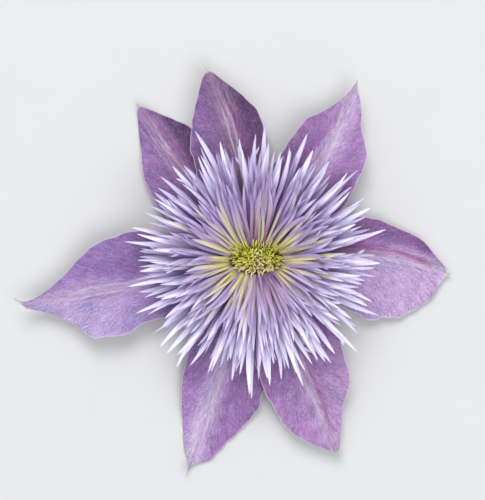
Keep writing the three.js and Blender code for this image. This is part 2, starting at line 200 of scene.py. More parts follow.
TUFT_SEED = 411
TUFT_COUNT = 330
TUFT_LONG = 7.3
TUFT_SHORT = 3.6
TUFT_SHIFT = 0.6
TUFT_FOOT = 13.35
TUFT_MOUND = 3.4
TUFT_HEAPS = (-3.5, 4.3)
FILAMENT_ROWS = 8
FILAMENT_SIDES = 6
FRINGE_COUNT = 80

DOWN_SEED = 77
STALK_HAIRS = 700
SEPAL_HAIRS = 150
HAIR_RADIUS = 0.028

# -------- small helpers

MASK = 0xFFFFFFFF


def seeded_random(seed):
    """A repeatable random number from 0 to 1, the same one as in the part's source."""
    state = seed

    def draw():
        nonlocal state
        state = (state + 0x6D2B79F5) & MASK
        mixed = ((state ^ (state >> 15)) * (state | 1)) & MASK
        mixed = ((mixed + (mixed ^ (mixed >> 7)) * (mixed | 61)) & MASK) ^ mixed
        return (mixed ^ (mixed >> 14)) / (MASK + 1)

    return draw


def along(values, share, stations=STATIONS):
    """A smooth curve through values at the stations, which never swings past them."""
    last = len(stations) - 1
    steps = [stations[i + 1] - stations[i] for i in range(last)]
    slopes = [(values[i + 1] - values[i]) / steps[i] for i in range(last)]
    tangents = [slopes[0]]
    for i in range(1, last):
        if slopes[i - 1] * slopes[i] <= 0:
            tangents.append(0.0)
        else:
            before = 2 * steps[i] + steps[i - 1]
            after = steps[i] + 2 * steps[i - 1]
            tangents.append((before + after) / (before / slopes[i - 1] + after / slopes[i]))
    tangents.append(slopes[-1])
    k = 0
    while k < last - 1 and share > stations[k + 1]:
        k += 1
    u = (share - stations[k]) / steps[k]
    near = (2 * u ** 3 - 3 * u * u + 1) * values[k]
    leave = (u ** 3 - 2 * u * u + u) * steps[k] * tangents[k]
    far = (3 * u * u - 2 * u ** 3) * values[k + 1]
    arrive = (u ** 3 - u * u) * steps[k] * tangents[k + 1]
    return near + leave + far + arrive


def smoothstep(x, low, high):
    t = min(1.0, max(0.0, (x - low) / (high - low)))
    return t * t * (3 - 2 * t)


def bell(x, middle, width):
    return math.exp(-(((x - middle) / width) ** 2))


def mix(first, second, share):
    return np.array(first) * (1 - share) + np.array(second) * share


def unit(vector):
    return vector / np.linalg.norm(vector)


def turned(vector, axis, angle):
    return np.array(Matrix.Rotation(angle, 3, Vector(axis)) @ Vector(vector))


def ring_angles(sides):
    return [2 * math.pi * k / sides for k in range(sides)]


def spoke(sideways, up, turn):
    return sideways * math.cos(turn) + up * math.sin(turn)


def new_object(name, data):
    made = bpy.data.objects.new(name, data)
    bpy.context.scene.collection.objects.link(made)
    return made


class Body:
    """Collects the points and faces of one piece, with three named triples for its look."""

    LABELS = ("blade", "tone", "tint")

    def __init__(self, name):
        self.name = name
        self.points = []
        self.faces = []
        self.data = {label: [] for label in self.LABELS}

    def add(self, point, blade=(0, 0, 0), tone=(0, 0, 0), tint=(0, 0, 0)):
        self.points.append(point)
        for label, triple in zip(self.LABELS, (blade, tone, tint)):
            self.data[label].append(triple)
        return len(self.points) - 1

    def grid(self, rows, around=False):
        """Faces between rows of point numbers; around joins each row's end to its start."""
        for low, high in zip(rows, rows[1:]):
            count = len(low)
            for j in range(count if around else count - 1):
                k = (j + 1) % count
                corners = [low[j], low[k], high[k], high[j]]
                face = [p for i, p in enumerate(corners) if p != corners[i - 1]]
                if len(face) > 2:
                    self.faces.append(face)

    def closed(self, rings):
        """A closed skin over rings of point numbers, with a flat cap at each end."""
        self.grid(rings, around=True)
        self.faces += [rings[0][::-1], rings[-1]]

    def build(self, material, slot, *nodes):
        mesh = bpy.data.meshes.new(self.name)
        placed = (np.array(self.points, dtype=float) + CENTRE) * MM
        mesh.from_pydata(placed.tolist(), [], self.faces)
        for label, triples in self.data.items():
            layer = mesh.attributes.new(label, "FLOAT_VECTOR", "POINT")
            layer.data.foreach_set("vector", np.array(triples, dtype=np.float32).ravel())
        mesh.polygons.foreach_set("use_smooth", [True] * len(mesh.polygons))
        mesh.materials.append(material)
        mesh.validate()
        piece = new_object(self.name, mesh)
        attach(piece, "root")
        if nodes:
            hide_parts(*nodes)


def tube(body, place, radius_at, rows, sides, data_at, tone):
    """A thin round tube along place(u), closed at both ends."""
    rings = []
    for i in range(rows + 1):
        u = i / rows
        ahead = unit(place(u + 0.02) - place(u - 0.02))
        helper = np.array([1.0, 0, 0]) if abs(ahead[0]) < 0.8 else np.array([0, 1.0, 0])
        across = unit(np.cross(helper, ahead))
        up = np.cross(ahead, across)
        radius = radius_at(u)
        rings.append([
            body.add(place(u) + spoke(across, up, a) * radius, data_at(u), tone)
            for a in ring_angles(sides)
        ])
    body.closed(rings)


# -------- shader helpers


class Look:
    """A material with a Principled shader, and short ways to add nodes to it."""

    def __init__(self, name, roughness=0.5, specular=0.35):
        self.material = bpy.data.materials.new(name)
        self.material.use_nodes = True
        self.tree = self.material.node_tree
        self.shader = self.tree.nodes["Principled BSDF"]
        self.set({"Specular IOR Level": specular, "Roughness": roughness})

    def set(self, settings):
        """Constants on the shader's own sockets."""
        for name, value in settings.items():
            self.shader.inputs[name].default_value = value

    def soft(self, weight, radius, scale):
        """Light that passes through the tissue."""
        self.set({"Subsurface Weight": weight, "Subsurface Radius": radius, "Subsurface Scale": scale})

    def node(self, kind):
        return self.tree.nodes.new("ShaderNode" + kind)

    def link(self, source, socket):
        """Feeds a socket from another one, a number, or a colour without its alpha."""
        if isinstance(source, bpy.types.NodeSocket):
            self.tree.links.new(source, socket)
        else:
            socket.default_value = (*source, 1) if socket.type == "RGBA" else source

    def fill(self, sockets, sources):
        for source, socket in zip(sources, sockets):
            self.link(source, socket)

    def colour(self, source):
        self.link(source, self.shader.inputs["Base Color"])

    def data(self, name):
        """A named triple of the mesh, as a vector."""
        node = self.node("Attribute")
        node.attribute_type = "GEOMETRY"
        node.attribute_name = name
        return node.outputs["Vector"]

    def split(self, vector):
        node = self.node("SeparateXYZ")
        self.link(vector, node.inputs[0])
        return tuple(node.outputs)

    def numbers(self, name):
        """The three numbers of a named triple."""
        return self.split(self.data(name))

    def math(self, operation, *values, clamp=False):
        node = self.node("Math")
        node.operation = operation
        node.use_clamp = clamp
        self.fill(node.inputs, values)
        return node.outputs[0]

    def times(self, *values):
        return reduce(lambda first, second: self.math("MULTIPLY", first, second), values)

    def total(self, *values):
        return reduce(lambda first, second: self.math("ADD", first, second), values)

    def swing(self, value, size):
        """A number from 0 to 1, turned into one from minus size to plus size."""
        return self.math("MULTIPLY_ADD", value, 2 * size, -size)

    def flipped(self, value):
        return self.math("SUBTRACT", 1.0, value)

    def between(self, value, low, high):
        """0 at low, 1 at high, smooth between and level beyond; high may be the smaller one."""
        node = self.node("MapRange")
        node.interpolation_type = "SMOOTHSTEP"
        self.fill(node.inputs, (value, low, high))
        return node.outputs["Result"]

    def texture(self, kind, place):
        """A texture node at a place of three values, each alone or paired with a factor."""
        join = self.node("CombineXYZ")
        self.fill(join.inputs, [self.times(*v) if isinstance(v, tuple) else v for v in place])
        node = self.node(kind)
        self.link(join.outputs[0], node.inputs["Vector"])
        node.inputs["Scale"].default_value = 1.0
        return node

    def noise(self, x, y, z, detail=3.0, roughness=0.55):
        node = self.texture("TexNoise", (x, y, z))
        node.inputs["Detail"].default_value = detail
        node.inputs["Roughness"].default_value = roughness
        return node.outputs["Fac"]

    def cells(self, x, y, z):
        """The distance to the nearest wall of a net of uneven cells."""
        node = self.texture("TexVoronoi", (x, y, z))
        node.feature = "DISTANCE_TO_EDGE"
        return node.outputs["Distance"]

    def blend(self, factor, first, second, kind="MIX"):
        node = self.node("Mix")
        node.data_type = "RGBA"
        node.blend_type = kind
        node.clamp_factor = True
        self.fill((node.inputs[0], *node.inputs[6:8]), (factor, first, second))
        return node.outputs[2]

    def scaled(self, colour, factor):
        node = self.node("VectorMath")
        node.operation = "SCALE"
        self.link(colour, node.inputs[0])
        self.link(factor, node.inputs["Scale"])
        return node.outputs[0]

    def bump(self, height, distance, strength=1.0):
        node = self.node("Bump")
        node.inputs["Strength"].default_value = strength
        node.inputs["Distance"].default_value = distance
        self.link(height, node.inputs["Height"])
        self.link(node.outputs[0], self.shader.inputs["Normal"])


# -------- sepals

PALE_COOL = (0.455, 0.365, 0.565)
MID_COOL = (0.265, 0.155, 0.39)
DEEP_COOL = (0.083, 0.038, 0.13)
PALE_WARM = (0.55, 0.37, 0.59)
MID_WARM = (0.29, 0.135, 0.32)
DEEP_WARM = (0.103, 0.036, 0.11)
FLUSH_MAGENTA = (0.24, 0.06, 0.235)
BAR_LINE_AND_SHEEN = (0.64, 0.56, 0.63)
SILVER = (0.66, 0.62, 0.70)
BAR_SHADE = (0.72, 0.55, 0.62)
RIM = (0.72, 0.60, 0.76)
TIP_PALE = (0.64, 0.65, 0.50)
UNDER_MAUVE = (0.44, 0.31, 0.47)
UNDER_GREEN = (0.40, 0.43, 0.25)
TOWARDS_PINK = (1.06, 0.76, 0.88)
TOWARDS_BLUE = (0.86, 0.98, 1.12)
SEPAL_SPAN = 65.0


def sepal_look():
    """blade: share, across in mm, edge 0 to 1. tone: seed, upper face 1 or 0, warmth."""
    look = Look("sepal_tissue", roughness=0.45, specular=0.42)
    share, across, edge = look.numbers("blade")
    seed, upper, warmth = look.numbers("tone")
    tint = look.data("tint")
    aside = look.math("ABSOLUTE", across)
    length = look.times(share, SEPAL_SPAN)
    # Fine veins leave the bar at a small angle and bend outwards to the margin.
    lag = look.times(look.math("POWER", aside, 0.75), 3.0)
    wander = look.noise((length, 0.3), (across, 0.3), look.total(seed, 9.0))
    run = look.total(look.math("SUBTRACT", length, lag), look.swing(wander, 3.0))
    veins = look.noise((run, 1.3), (aside, 0.35), seed, detail=4.0, roughness=0.65)
    net = look.cells((run, 0.75), (across, 0.42), seed)
    walls = look.between(net, 0.16, 0.02)
    fine = dict(detail=4.0, roughness=0.7)
    dashes = look.noise((run, 1.5), (across, 0.8), seed, **fine)
    threads = look.noise((across, 1.3), (length, 0.08), seed, **fine)
    grain = look.noise((length, 1.5), (across, 1.5), seed, **fine)
    blotch = look.noise((length, 0.34), (across, 0.34), seed, detail=4.0)
    patch = look.noise((length, 0.11), (across, 0.14), look.total(seed, 5.0))

    swings = ((veins, 0.55), (grain, 0.55), (blotch, 0.35), (patch, 0.3))
    value = look.total(1.02, *(look.swing(pattern, size) for pattern, size in swings))
    value = look.total(value, look.times(walls, -0.1))
    body = look.scaled(tint, value)
    for pattern, end, strength in ((dashes, 0.66, 1.0), (blotch, 0.72, 0.6)):
        pink = look.times(look.between(pattern, 0.5, end), warmth, strength)
        body = look.blend(pink, body, TOWARDS_PINK, "MULTIPLY")
    cool = look.times(look.between(patch, 0.5, 0.28), look.flipped(warmth))
    body = look.blend(cool, body, TOWARDS_BLUE, "MULTIPLY")
    body = look.blend(look.times(look.between(grain, 0.54, 0.8), 0.25), body, SILVER)

    # Fine silvery threads run along the bar, with a few fainter ones beside it; their pale is partly
    # the bar's own colour and partly painted sheen.
    bar = look.between(aside, 2.6, 0.6)
    bar = look.total(bar, look.between(aside, 5.0, 2.0))
    lines = look.times(look.between(threads, 0.45, 0.68), bar, 0.24, look.between(share, 1.0, 0.8))
    lines = look.total(lines, look.times(look.between(aside, 2.2, 0.4), 0.16))
    dark = look.times(look.between(threads, 0.47, 0.36), bar, 0.3)
    body = look.blend(dark, body, BAR_SHADE, "MULTIPLY")
    body = look.blend(lines, body, BAR_LINE_AND_SHEEN)
    body = look.blend(look.times(look.between(edge, 0.968, 0.992), 0.55), body, RIM)
    body = look.blend(look.times(look.between(share, 0.965, 0.985), 0.85), body, TIP_PALE)

    bar_edge = look.math("MULTIPLY_ADD", share, -3.6, 4.8)
    under_bar = look.between(aside, bar_edge, look.times(bar_edge, 0.35))
    under = look.blend(look.between(veins, 0.35, 0.75), UNDER_MAUVE, MID_WARM)
    under_bar = look.times(under_bar, look.math("MULTIPLY_ADD", share, -0.6, 0.95))
    under = look.blend(under_bar, under, UNDER_GREEN)
    under = look.scaled(under, look.total(1.0, look.swing(blotch, 0.25)))
    look.colour(look.blend(upper, under, body))
    look.soft(0.1, (0.9, 0.5, 0.9), 0.0008)
    look.set({"Sheen Weight": 0.12, "Sheen Roughness": 0.4})
    relief = look.total(look.times(veins, 0.9), look.times(grain, 0.4), look.times(blotch, 0.8))
    look.bump(look.total(relief, look.times(threads, bar, 0.5), look.times(walls, -0.25)), 0.00045, 0.8)
    return look.material


def midline(sepal, share):
    """The sepal's own curve, with its thread-like tip bent aside by the hook."""
    start, end = sepal["angles"]
    angle = math.radians(start + (end - start) * share * share)
    way = np.array([math.cos(angle), math.sin(angle)])
    bent = sepal.get("hook", 0) * max(0.0, (share - TIP_FROM) / (1 - TIP_FROM)) ** 2
    return way * sepal["length"] * share + np.array([-way[1], way[0]]) * bent


def left_of(sepal, share):
    step = 0.01
    way = unit(midline(sepal, min(1, share + step)) - midline(sepal, max(0, share - step)))
    return np.array([-way[1], way[0]])


def sepal_tint(sepal, share, across):
    """The broad colour at a place, from the two halves, the bar and the flush, and its warmth; its
    depth holds painted shade as well as the tissue's own colour.
    """
    weights = [smoothstep(across, 0.8, 6), 0, smoothstep(-across, 0.8, 6)]
    weights[1] = 1 - weights[0] - weights[2]
    depth = sum(w * d for w, d in zip(weights, sepal["depth"]))
    warm = sum(w * d for w, d in zip(weights, sepal["warm"]))
    # Deeper near the boss, partly the tissue's own colour and partly painted shadow of the boss; a
    # little paler towards the tip.
    depth += 0.22 * (1 - smoothstep(share, 0.42, 0.7)) - 0.06 * smoothstep(share, 0.8, 1)
    depth = min(1, max(0, depth))
    if depth < 0.5:
        cool, pink = mix(PALE_COOL, MID_COOL, 2 * depth), mix(PALE_WARM, MID_WARM, 2 * depth)
    else:
        deep = 2 * depth - 1
        cool, pink = mix(MID_COOL, DEEP_COOL, deep), mix(MID_WARM, DEEP_WARM, deep)
    place, width, strength = sepal["flush"]
    closing = (1 - share) / 0.4
    strength *= 0.8 + 0.2 * math.sin(19 * share + across - 2.9)
    strength *= 1 - smoothstep(share, 0.82, 0.96)
    flush = strength * bell(across, place * closing, max(width * closing, 0.75))
    return mix(mix(cool, pink, warm), FLUSH_MAGENTA, min(1, max(0, flush))), warm


def sepal_row(sepal, share, wander):
    """One row across a sepal: upper and under points, their place across and their edge share."""
    middle = midline(sepal, share)
    side = left_of(sepal, share)
    rise = along(sepal["rise"], share)
    free = smoothstep(share, SEPAL_FREE_FROM, SEPAL_FREE_AT)
    thread = 1 - 0.55 * smoothstep(share, TIP_FROM, 0.985)
    scallop = sum(size * math.sin(pace * share + shift * wander) for size, pace, shift in SEPAL_NOTCHES)
    widths = {
        True: along(sepal["left"], share) * thread * (1 + scallop),
        False: along(sepal["right"], share) * thread * (1 - scallop),
    }
    ribs = SEPAL_RIB_HEIGHT * (1 - share ** 6)
    row = []
    for j in range(SEPAL_COLUMNS):
        place = math.sin(math.pi / 2 * (1 - 2 * j / (SEPAL_COLUMNS - 1)))
        on_left = place >= 0
        width = widths[on_left]
        across = place * width
        edge = abs(place)
        turn = 2 * math.pi * sepal["waves"] * share + sepal["phase"] + (0 if on_left else 2.2)
        wave = SEPAL_WAVE * math.sin(turn) * edge * edge
        ruffle = SEPAL_RUFFLE * math.sin(5.3 * turn + 3 * wander) * edge ** 4 * free
        vein = sepal["length"] * share - 1.3 * abs(across)
        quilt = SEPAL_QUILT * math.sin(2.2 * vein) * edge * (1 - edge)
        fold = sepal["fold"][0 if on_left else 1] * abs(across) * edge
        height = max(rise + free * (wave + fold), 0) + SEPAL_PLANE + ruffle + quilt
        spacing = min(SEPAL_RIB_SPACING, width * 0.34)
        rib = sum(bell(abs(across), k * spacing, 0.2 * spacing + 0.1) for k in (0, 1)) * ribs
        half = SEPAL_THICKNESS / 2 * math.sqrt(max(0.0, 1 - edge ** 16)) * (0.4 + 0.6 * thread)
        top = max(height + half + rib * 0.8, 2 * half)
        bottom = max(height - half - rib * 0.7, 0)
        x, y = middle + side * across
        row.append(((x, y, top), (x, y, min(bottom, top)), across, edge))
    return row


def make_sepal(sepal, number, material):
    body = Body(sepal["name"] + "_tissue")
    seed = number * 11.3
    root_share = SEPAL_ROOT / sepal["length"]
    tops, unders = [], []
    for i in range(SEPAL_ROWS + 1):
        share = root_share + (1 - root_share) * (1 - (1 - i / SEPAL_ROWS) ** 1.2)
        upper, under = [], []
        for top, bottom, across, edge in sepal_row(sepal, share, number * NOTCH_SHIFT):
            tint, warm = sepal_tint(sepal, share, across)
            upper.append(body.add(top, (share, across, edge), (seed, 1, warm), tint))
            if 1 < len(upper) < SEPAL_COLUMNS:
                under.append(body.add(bottom, (share, across, edge), (seed, 0, warm), tint))
        tops.append(upper)
        unders.append([upper[0], *under, upper[-1]])
    body.grid(tops)
    body.grid([row[::-1] for row in unders])
    body.grid([unders[0], tops[0]])
    body.grid([tops[-1], unders[-1]])
    body.build(material, "sepal", sepal["name"])


# -------- petaloids

BLADE_SHADE = (0.32, 0.20, 0.49)
BLADE_GREY = (0.33, 0.23, 0.47)
BLADE_LILAC = (0.46, 0.385, 0.60)
BLADE_WHITE = (0.78, 0.74, 0.94)
BLADE_PINK = (0.40, 0.25, 0.33)
BLADE_CREAM = (0.63, 0.57, 0.31)
BLADE_YOLK = (0.58, 0.54, 0.14)
PAINTED_ROOT_SHADOW = (0.42, 0.27, 0.48)


def petaloid_look():
    """blade: share, across -1 to 1, upper face 1 or 0. tone: radius 0 to 1, seed, inwardness.

    tint: how creamy the blade is near its root, or how pink where below 0; brightness, a random tone
    with painted shade on the upper side and on the filler blades; chance.
    """
    look = Look("petaloid_tissue", roughness=0.5, specular=0.3)
    share, across, upper = look.numbers("blade")
    radius, seed, inward = look.numbers("tone")
    warmth, brightness_and_shade, chance = look.numbers("tint")
    creamy = look.math("MAXIMUM", warmth, 0.0)
    pinkish = look.math("MAXIMUM", look.times(warmth, -1.0), 0.0)
    aside = look.math("ABSOLUTE", across)
    fibres = look.noise((across, 3.5), (share, 3.0), seed, detail=4.0, roughness=0.65)
    mottle = look.noise(across, (share, 12.0), seed)

    root = look.blend(look.between(inward, 0.25, 0.8), BLADE_SHADE, BLADE_GREY)
    light = look.total(look.between(radius, 0.22, 0.95), brightness_and_shade, look.swing(fibres, 1.0))
    # Painted shade between the blades: darker along each blade's edges.
    light = look.total(light, look.times(look.between(aside, 0.55, 1.0), -0.34), 0.12)
    root = look.blend(look.flipped(upper), root, BLADE_SHADE)
    light = look.math("SUBTRACT", light, look.times(look.between(share, 0.84, 1.0), 0.22))
    light = look.math("SUBTRACT", light, look.times(look.flipped(upper), 0.4), clamp=True)
    body = look.blend(look.times(light, 2.0), root, BLADE_LILAC)
    body = look.blend(look.math("MULTIPLY_ADD", light, 1.7, -0.7), body, BLADE_WHITE)
    pink = look.times(look.total(look.times(look.between(mottle, 0.42, 0.7), 0.3), pinkish), 0.8)
    body = look.blend(look.times(pink, look.between(share, 0.9, 0.35)), body, BLADE_PINK)
    reach = look.math("MULTIPLY_ADD", chance, 0.75, 0.25)
    fade = look.between(look.math("DIVIDE", share, reach), 1.3, 0.35)
    streaks = look.total(look.between(fibres, 0.3, 0.6), 0.4)
    yolk = look.blend(look.between(share, 0.1, 0.45), BLADE_YOLK, BLADE_CREAM)
    # Less cream along the edges, so that this painted shade stays violet.
    inside = look.math("MULTIPLY_ADD", look.between(aside, 0.6, 1.0), -0.75, 1.0)
    body = look.blend(look.times(creamy, fade, streaks, inside, upper), body, yolk)
    # Painted shadow under the tuft on the roots of the brighter blades, which are mostly on its lower
    # side; the pinkish blades' roots also take it, partly as their own darker mauve-brown.
    shaded = look.math("MULTIPLY_ADD", pinkish, 0.4, 0.16)
    painted_tuft_shadow = look.total(look.between(brightness_and_shade, -0.02, 0.18), pinkish)
    painted_tuft_shadow = look.times(look.between(share, shaded, 0.02), painted_tuft_shadow)
    look.colour(look.blend(look.times(painted_tuft_shadow, 0.9), body, PAINTED_ROOT_SHADOW, "MULTIPLY"))
    look.soft(0.1, (0.8, 0.6, 0.9), 0.0006)
    look.bump(fibres, 0.00022, 0.6)
    return look.material


BLADE_STATIONS = [0, 0.4, 0.7, 0.88, 0.95, 1]
BLADE_WIDTHS = [0.3, 0.84, 1, 0.7, 0.42, 0.03]


def blade(body, place, width_at, roll_at, cup, thickness, shares, tag, tint, columns=BLADE_COLUMNS):
    """A thin channelled blade along place(u), closed at its root and pointed at its end.

    shares: the colour shares at its root and its tip. tag: its inwardness and its seed.
    """
    inward, seed = tag
    rows = BLADE_ROWS if shares[0] == 0 else BLADE_ROWS // 3
    upper_rows, under_rows = [], []
    for i in range(rows):
        u = 1 - (1 - i / rows) ** 1.2
        share = shares[0] + (shares[1] - shares[0]) * u
        centre = place(u)
        ahead = unit(place(u + 0.01) - place(u - 0.01))
        across = turned(unit(np.array([-ahead[1], ahead[0], 0])), ahead, roll_at(u))
        up = np.cross(ahead, across)
        width = width_at(u)
        thick = min(thickness, width * 0.6)
        radius = math.hypot(centre[0], centre[1]) / BOSS_RADIUS
        tops, bottoms = [], []
        for j in range(columns):
            c = math.sin(math.pi / 2 * (1 - 2 * j / (columns - 1)))
            sink = cup * width * (1 - abs(c) ** 1.7)
            depth = thick * (math.sqrt(1 - abs(c) ** 4) + 0.9 * bell(c, 0, 0.25))
            edge = centre + across * (c * width)
            tops.append(body.add(edge - up * sink, (share, c, 1), (radius, seed, inward), tint))
            if 0 < j < columns - 1:
                under = edge - up * (sink + depth)
                bottoms.append(body.add(under, (share, c, 0), (radius, seed, inward), tint))
        upper_rows.append(tops)
        under_rows.append([tops[0], *bottoms, tops[-1]])
    tip = body.add(place(1.0), (shares[1], 0, 1), (radius, seed, inward), tint)
    body.grid(upper_rows + [[tip] * columns])
    body.grid([row[::-1] for row in under_rows] + [[tip] * columns])
    body.grid([under_rows[0], upper_rows[0]])


# Stretches round the boss, as the middle and the half-width of each in degrees.
PINK_TOP = (82, 22)
PINK_LOW = (290, 26)
CREAM_LEFT = (132, 30)
CREAM_RIGHT = (40, 22)
CREST_LEFT = (125, 28)
CREST_RIGHT = (50, 24)


def blade_tint(angle, inward, painted_shade, extra):
    """Creamy near the tuft, most at its upper left and right, pinkish above and below it; and a
    brightness that holds painted shade.
    """
    turn = math.degrees(angle) % 360
    top = bell(turn, *PINK_TOP)
    low = bell(turn, *PINK_LOW)
    inner = smoothstep(inward, 0.35, 0.85)
    creamy = (1.1 - 0.5 * top - 0.35 * low) * inner * 1.7 * extra() ** 1.2
    creamy = max(creamy, 0.8 * inner * (bell(turn, *CREAM_LEFT) + bell(turn, *CREAM_RIGHT)))
    pinkish = (1.2 * top + 0.8 * low) * (0.4 + 0.6 * inward)
    if extra() < 0.7 * top + 0.6 * low:
        creamy = 0
    else:
        pinkish = 0
    # A random tone with painted shade: darker towards the top, a little lighter towards the right,
    # darker still on the filler blades.
    brightness_and_shade = 0.44 * (extra() - 0.5) + 0.05 * math.cos(angle) - 0.17 * math.sin(angle) - painted_shade
    return (creamy - pinkish, brightness_and_shade, extra())


def petaloid(whorl, inward, painted_shade, angle, draw, extra, body):
    """The same path, width and roll as the part's own blade, with a channel, a twist and a hook."""
    way = np.array([math.cos(angle), math.sin(angle), 0.0])
    aside = np.array([-way[1], way[0], 0.0])
    foot = np.array([whorl["root"][0] * way[0], whorl["root"][1] * way[1], whorl["foot"]])
    run = whorl["reach"] * (0.88 + 0.15 * draw()) - math.hypot(foot[0], foot[1])
    run *= 1 + LENGTH_SPREAD * (extra() - 0.55) * (1 - inward)
    inset = ROOT_INSET * smoothstep(inward, 0.75, 0.9)
    foot -= way * inset
    run += inset
    lift = whorl["lift"] + 2 * draw() - 0.8
    sweep = 5.6 * (draw() - 0.5)
    roll = 0.8 * (draw() - 0.5)
    half = whorl["width"] * (0.86 + 0.28 * draw()) / 2
    twist = BLADE_TWIST * (extra() - 0.5)
    hook = BLADE_HOOK * (extra() - 0.5)
    sway = BLADE_SWAY * (extra() - 0.5)
    cup = 0.2 + 0.5 * extra()
    tag = (inward, 9.7 * extra() + inward * 16.5)
    tint = blade_tint(angle, inward, painted_shade, extra)
    taper = 0.7 + 0.3 * extra()

    def place(u):
        point = foot + way * run * u + aside * sweep * u * u
        point[2] = foot[2] + lift * u + whorl["arch"] * math.sin(math.pi * u) * 0.8
        point[2] += 0.5 * hook * max(0.0, u) ** 7
        return point + aside * (hook * max(0.0, u) ** 5 + sway * math.sin(2 * math.pi * u))

    def width_at(u):
        root = PETALOID_ROOT_WIDTH / 2 * (1 - u)
        full = half * along(BLADE_WIDTHS, u, BLADE_STATIONS)
        return max(root, full * (1 - (1 - taper) * smoothstep(u, 0.7, 0.9)))

    def roll_at(u):
        return roll * u + twist * u ** 3

    blade(body, place, width_at, roll_at, cup, BLADE_THICKNESS, (0, 1), tag, tint)
    if extra() < BARB_SHARE:
        barb(body, place, 1 if extra() < 0.5 else -1, cup * half, tag, tint)


def barb(body, place, side, sink, tag, tint):
    """A small side point near a blade's tip."""
    start = place(BARB_PLACE) - np.array([0, 0, sink + 0.12])
    ahead = unit(place(BARB_PLACE + 0.02) - place(BARB_PLACE - 0.02))
    out = unit(np.cross((0, 0, 1), ahead)) * side
    way = ahead * 3.4 + out * 1.6 + np.array([0, 0, 0.4])
    widths = [0.1, 0.36, 0.34, 0.2, 0.1, 0.02]
    blade(body, lambda u: start + way * u, lambda u: along(widths, u, BLADE_STATIONS), lambda u: 0.0,
          0.2, 0.1, (BARB_PLACE, 1), tag, tint, columns=5)


def make_petaloids(material):
    body = Body("petaloid_blades")
    draw = seeded_random(PETALOID_SEED)
    extra = seeded_random(PETALOID_SEED + 1)
    innermost = len(WHORLS) - 1
    for level, whorl in enumerate(WHORLS):
        pitch = 2 * math.pi / whorl["count"]
        for i in range(whorl["count"]):
            angle = pitch * (i + 0.5 * (level % 2) + 0.6 * (draw() - 0.5))
            petaloid(whorl, level / innermost, 0, angle, draw, extra, body)
    draw = seeded_random(FILLER_SEED)
    for level, whorl in enumerate(WHORLS):
        inner = WHORLS[min(level + 1, innermost)]
        between = {key: mix(whorl[key], inner[key], 0.5) for key in whorl}
        between["width"] *= FILLER_WIDTH
        between["reach"] *= TOP_FILLER_REACH if level == innermost else FILLER_REACH
        for i in range(FILLER_COUNT):
            angle = 2 * math.pi * (i + 0.25 + 0.8 * (draw() - 0.5)) / FILLER_COUNT
            inward = min(1, (level + 0.5) / innermost)
            petaloid(between, inward, FILLER_PAINTED_SHADE, angle, draw, extra, body)
    body.build(material, "petaloid", "petaloids")


DOME_PURPLE = (0.20, 0.10, 0.33)
DOME_OLIVE = (0.25, 0.16, 0.26)
DOME_RIM = (0.36, 0.33, 0.13)


def dome_look():
    """blade: the place in mm."""
    look = Look("dome_tissue", roughness=0.75)
    x, y, z = look.numbers("blade")
    grain = look.noise((x, 1.4), (y, 1.4), (z, 1.4), detail=4.0)
    # The dark purple grain is partly the dome's own colour and partly painted shade, for where it shows
    # between the petaloids' roots.
    body = look.blend(grain, DOME_PURPLE, DOME_OLIVE)
    look.colour(look.blend(look.between(z, DOME_TOP - 0.8, DOME_TOP - 0.2), body, DOME_RIM))
    look.bump(grain, 0.0003, 0.7)
    return look.material


def make_dome(material):
    """The dome that the petaloids grow from, with the well that the tuft stands in."""
    body = Body("petaloid_dome")
    outside = [
        (0.01, DOME_BOTTOM), (RECEPTACLE_RADIUS - 0.6, DOME_BOTTOM),
        (RECEPTACLE_RADIUS, DOME_BOTTOM + 0.4),
        (DOME_RADIUS - 1, DOME_BOTTOM + 1.3), (DOME_RADIUS, DOME_BOTTOM + 2.6),
        (DOME_RADIUS - 0.3, DOME_TOP - 0.6), (DOME_RADIUS - 0.9, DOME_TOP),
    ]
    well = [(1.0, DOME_TOP), (1.0, WELL_FLOOR), (0.01, WELL_FLOOR)]
    sizes = [(radius, radius, height) for radius, height in outside]
    sizes += [(WELL_LONG * share, WELL_SHORT * share, height) for share, height in well]
    numbered = []
    for long, short, height in sizes:
        points = [(long * math.cos(a), short * math.sin(a), height) for a in ring_angles(64)]
        numbered.append([body.add(point, point) for point in points])
    body.closed(numbered)
    body.build(material, "petaloid", "petaloids")


# -------- tuft

TUFT_OLIVE = (0.24, 0.24, 0.02)
TUFT_GREEN = (0.47, 0.46, 0.05)
TUFT_YELLOW = (0.73, 0.64, 0.15)
TUFT_CREAM = (0.72, 0.62, 0.40)
TUFT_BROWN_SHADOW = (0.24, 0.12, 0.09)


def tuft_look():
    """blade: share, middle 0 to 1, chance. tone: distance out 0 to 1, seed, lower rim 0 to 1."""
    look = Look("tuft_filaments", roughness=0.5, specular=0.35)
    share, middle, chance = look.numbers("blade")
    out, seed, rim = look.numbers("tone")
    grain = look.noise((share, 9.0), middle, seed)
    body = look.blend(look.between(share, 0.25, 0.75), TUFT_OLIVE, TUFT_GREEN)
    yellow = look.times(look.between(share, 0.6, 0.95), look.between(chance, 0.1, 0.8))
    body = look.blend(yellow, body, TUFT_YELLOW)
    # Brown at the filaments' roots below the tuft's middle, partly their own colour and partly painted
    # shadow.
    brown = look.times(middle, look.between(share, 1.0, 0.6), 0.9)
    body = look.blend(brown, body, TUFT_BROWN_SHADOW)
    cream = look.math("MAXIMUM", rim, look.times(middle, look.between(chance, 0.4, 0.7)))
    body = look.blend(look.times(cream, look.between(share, 0.3, 0.9), 0.8), body, TUFT_CREAM)
    look.colour(look.scaled(body, look.total(1.0, look.swing(grain, 0.35))))
    look.soft(0.15, (0.8, 0.8, 0.3), 0.0005)
    look.bump(grain, 0.0001, 0.5)
    return look.material


